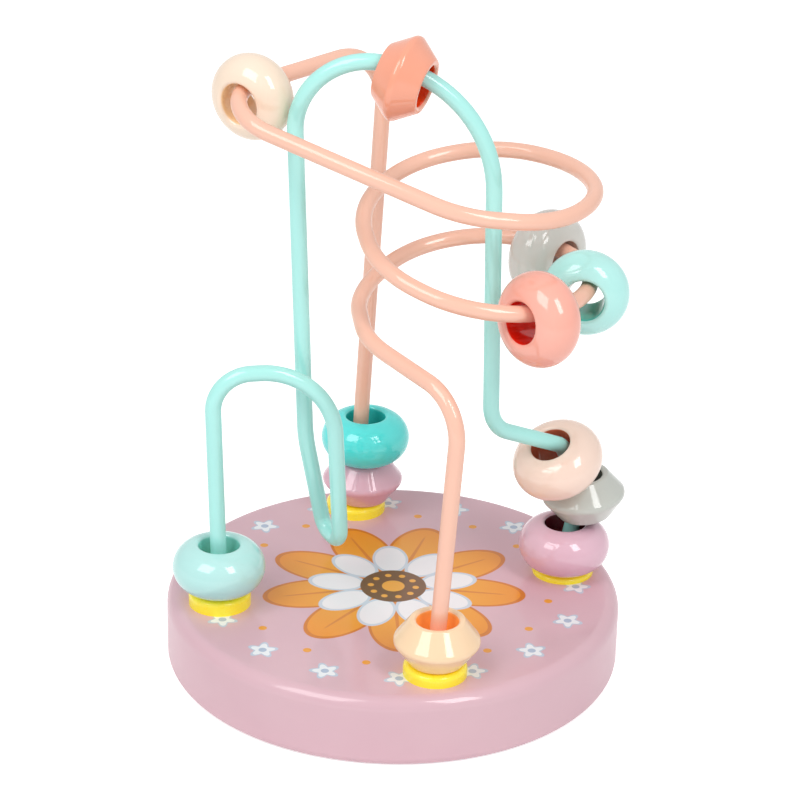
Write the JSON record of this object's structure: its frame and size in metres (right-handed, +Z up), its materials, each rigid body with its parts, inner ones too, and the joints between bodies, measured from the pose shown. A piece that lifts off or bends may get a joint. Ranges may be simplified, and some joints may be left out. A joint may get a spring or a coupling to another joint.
{
  "type": "bead maze",
  "caption": "Tabletop bead maze: a round lacquered wooden base carries two bent, coated wires, one with a coil, along which round and double-cone wooden beads slide.",
  "frame": {"origin": "middle of the underside of the wooden disc, on the surface it stands on", "axes": "+Z up out of the disc; the mint wire stands along X with its low arch at -X; the peach wire's front leg is on -Y and its back post on +Y"},
  "size_m": [0.102, 0.1, 0.1451],
  "materials": {
    "base_lacquer": "satin lilac-pink lacquer on a turned hardwood disc",
    "plug_yellow": "glossy moulded yellow plastic",
    "mint_coat": "mint powder coat on steel wire",
    "peach_coat": "peach powder coat on steel wire",
    "bead_mint": "glossy pale mint lacquer on turned wood",
    "bead_peach": "glossy peach lacquer on turned wood",
    "bead_lilac": "glossy lilac lacquer on turned wood",
    "bead_turquoise": "glossy turquoise lacquer on turned wood",
    "bead_grey": "glossy light grey lacquer on turned wood",
    "bead_cream": "glossy cream lacquer on turned wood",
    "bead_coral": "glossy coral lacquer on turned wood"
  },
  "bodies": {
    "maze": {"base": "base_lacquer", "left_plug": "plug_yellow", "front_plug": "plug_yellow", "right_plug": "plug_yellow", "back_plug": "plug_yellow", "mint_wire": "mint_coat", "peach_wire": "peach_coat"},
    "left_round_bead": {"left_round_bead": "bead_mint"},
    "front_bicone": {"front_bicone": "bead_peach"},
    "back_bicone": {"back_bicone": "bead_lilac"},
    "back_round_bead": {"back_round_bead": "bead_turquoise"},
    "right_round_bead": {"right_round_bead": "bead_lilac"},
    "right_bicone": {"right_bicone": "bead_grey"},
    "right_top_bead": {"right_top_bead": "bead_cream"},
    "arch_bicone": {"arch_bicone": "bead_coral"},
    "corner_round_bead": {"corner_round_bead": "bead_cream"},
    "coil_front_bead": {"coil_front_bead": "bead_coral"},
    "coil_right_bead": {"coil_right_bead": "bead_mint"},
    "coil_rear_bead": {"coil_rear_bead": "bead_grey"}
  },
  "joints": [
    {"name": "left_bead_lift", "type": "slide", "parent": "maze", "child": "left_round_bead", "axis": [-0.0314, 0, 0.9995], "range_m": [0, 0.033]},
    {"name": "front_bicone_lift", "type": "slide", "parent": "maze", "child": "front_bicone", "axis": [0.0639, 0, 0.998], "range_m": [0, 0.038]},
    {"name": "back_bicone_lift", "type": "slide", "parent": "maze", "child": "back_bicone", "axis": [0.0341, -0.0541, 0.998], "range_m": [0, 0.045]},
    {"name": "back_round_lift", "type": "slide", "parent": "back_bicone", "child": "back_round_bead", "axis": [0.0341, -0.0541, 0.998], "range_m": [0, 0.035]},
    {"name": "right_round_spin", "type": "hinge", "parent": "maze", "child": "right_round_bead", "pos_m": [0.03884, -0.00061, 0.0232], "axis": [0, 0, 1], "continuous": true},
    {"name": "right_bicone_spin", "type": "hinge", "parent": "maze", "child": "right_bicone", "pos_m": [0.04282, -0.00048, 0.0353], "axis": [-0.1219, 0, 0.9925], "continuous": true},
    {"name": "right_top_spin", "type": "hinge", "parent": "maze", "child": "right_top_bead", "pos_m": [0.03565, -0.00315, 0.04544], "axis": [-0.4263, -0.2334, 0.874], "continuous": true},
    {"name": "arch_bicone_run", "type": "hinge", "parent": "maze", "child": "arch_bicone", "pos_m": [-0.00949, -0.00284, 0.11196], "axis": [0.2988, 0.9543, -0.0012], "range_deg": [-16, 54]},
    {"name": "corner_bead_run", "type": "hinge", "parent": "maze", "child": "corner_round_bead", "pos_m": [-0.02304, 0.00392, 0.12721], "axis": [0.149, -0.2616, 0.9536], "range_deg": [-12, 24]},
    {"name": "coil_front_run", "type": "hinge", "parent": "maze", "child": "coil_front_bead", "pos_m": [0.0156, -0.0039, 0.091], "axis": [0, 0, 1], "range_deg": [-6, 12]},
    {"name": "coil_right_run", "type": "hinge", "parent": "maze", "child": "coil_right_bead", "pos_m": [0.0156, -0.0039, 0.091], "axis": [0, 0, 1], "range_deg": [-10, 10]},
    {"name": "coil_rear_run", "type": "hinge", "parent": "maze", "child": "coil_rear_bead", "pos_m": [0.0156, -0.0039, 0.091], "axis": [0, 0, 1], "range_deg": [-10, 46]}
  ]
}
